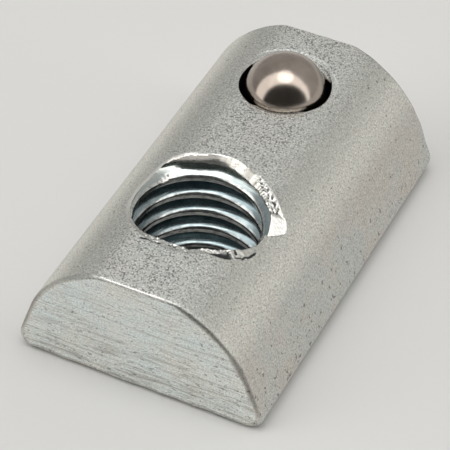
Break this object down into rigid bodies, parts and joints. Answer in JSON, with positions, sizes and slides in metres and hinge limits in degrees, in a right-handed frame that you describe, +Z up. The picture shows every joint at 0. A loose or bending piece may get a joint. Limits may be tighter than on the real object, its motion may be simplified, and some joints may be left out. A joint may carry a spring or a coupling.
{
  "type": "t slot nut",
  "caption": "Half-round roll-in T slot nut with a threaded hole and a spring-loaded ball that holds it in place in the slot.",
  "frame": {"origin": "bottom centre: on the flat underside, at the middle of its length and width", "axes": "+Z up from the flat underside to the crown, +Y along the nut towards the ball, +X across the nut"},
  "size_m": [0.014, 0.022, 0.0088],
  "materials": {
    "zinc_plated_steel": "bright zinc plating over sawn and tumbled steel",
    "polished_ball_steel": "polished",
    "spring_wire": "drawn spring wire"
  },
  "bodies": {
    "nut": {"nut_body": "zinc_plated_steel", "detent_spring": "spring_wire"},
    "ball": {"detent_ball": "polished_ball_steel"}
  },
  "joints": [
    {"name": "ball_press", "type": "slide", "parent": "nut", "child": "ball", "axis": [0, 0, -1], "range_m": [0, 0.0016], "stiffness_N_per_m": 1700, "springref_m": -0.001, "deforming": ["detent_spring"]}
  ]
}
